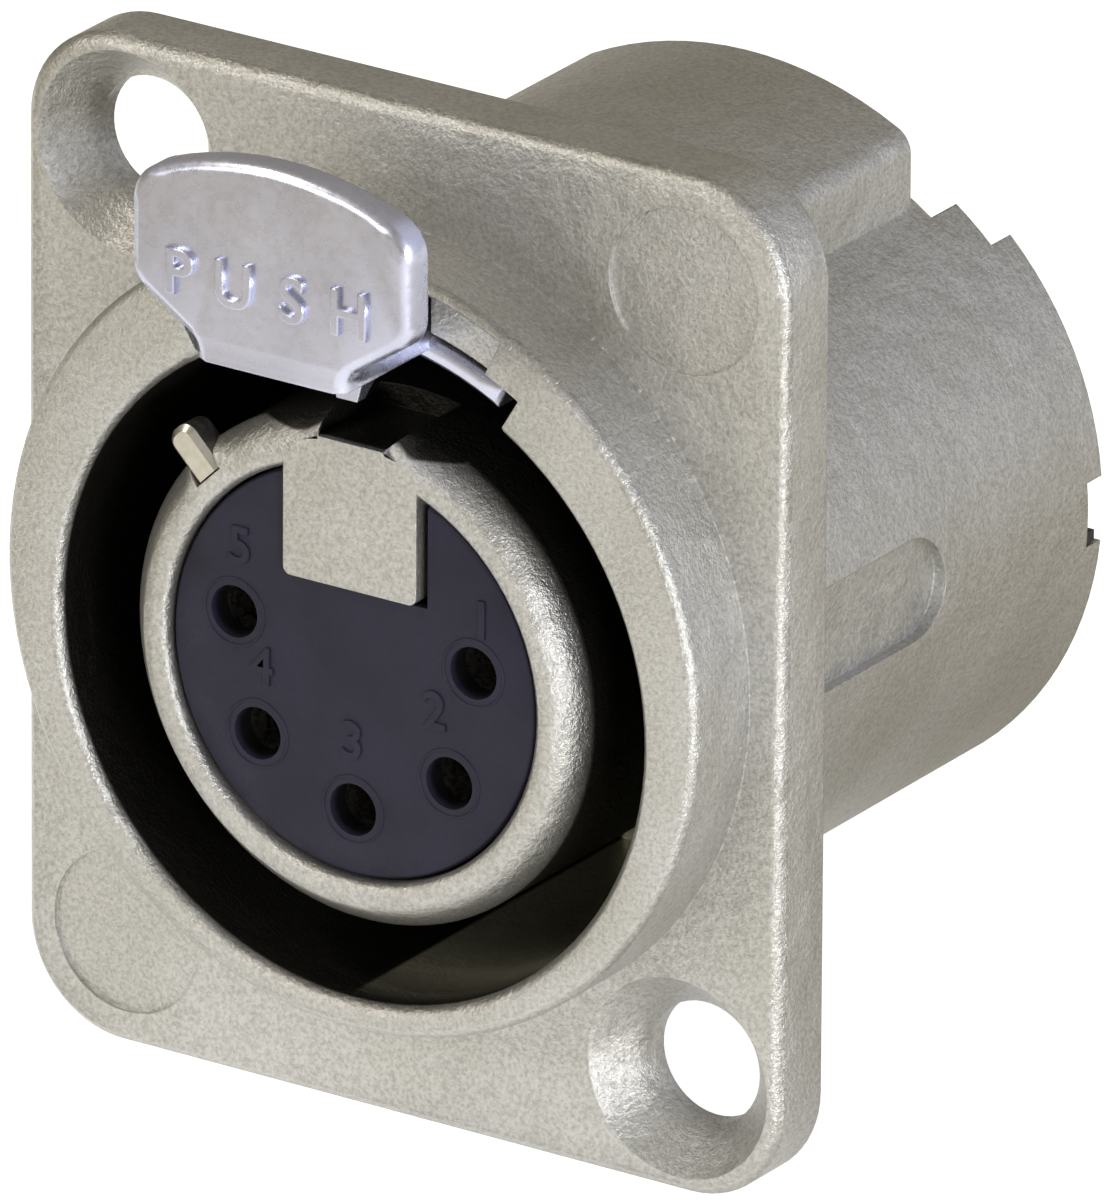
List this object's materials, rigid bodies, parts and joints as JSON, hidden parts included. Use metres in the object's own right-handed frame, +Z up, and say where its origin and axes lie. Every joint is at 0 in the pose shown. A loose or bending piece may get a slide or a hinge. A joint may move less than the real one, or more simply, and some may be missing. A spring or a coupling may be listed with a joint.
{
  "type": "xlr panel socket",
  "caption": "Flanged panel socket for a round audio plug: die-cast shell with a keyed inner sleeve, push latch, contact insert and solder cups.",
  "frame": {"origin": "middle of the flange's back face, the face that rests on the panel", "axes": "+X to the right seen from the front, +Y into the panel, +Z up, toward the push tab"},
  "size_m": [0.026, 0.0283, 0.0312],
  "materials": {
    "casting": "satin blasted and plated zinc casting",
    "latch_steel": "satin plated pressing",
    "spring_steel": "drawn spring wire",
    "insert_plastic": "dark moulded plastic",
    "contact_metal": "silvered copper alloy",
    "ground_metal": "tinned copper alloy",
    "ring_plastic": "black moulded plastic"
  },
  "bodies": {
    "base": {"housing": "casting", "latch_spring": "spring_steel", "insert": "insert_plastic", "contact_1": "contact_metal", "contact_2": "contact_metal", "contact_3": "contact_metal", "contact_4": "contact_metal", "contact_5": "contact_metal", "ground_contact": "ground_metal", "rear_ring": "ring_plastic"},
    "push_latch": {"latch": "latch_steel"}
  },
  "joints": [
    {"name": "latch_slide", "type": "slide", "parent": "base", "child": "push_latch", "axis": [0, 0.887, 0.4617], "range_m": [0, 0.002], "stiffness_N_per_m": 1500, "springref_m": -0.0015, "deforming": ["latch_spring"]}
  ]
}
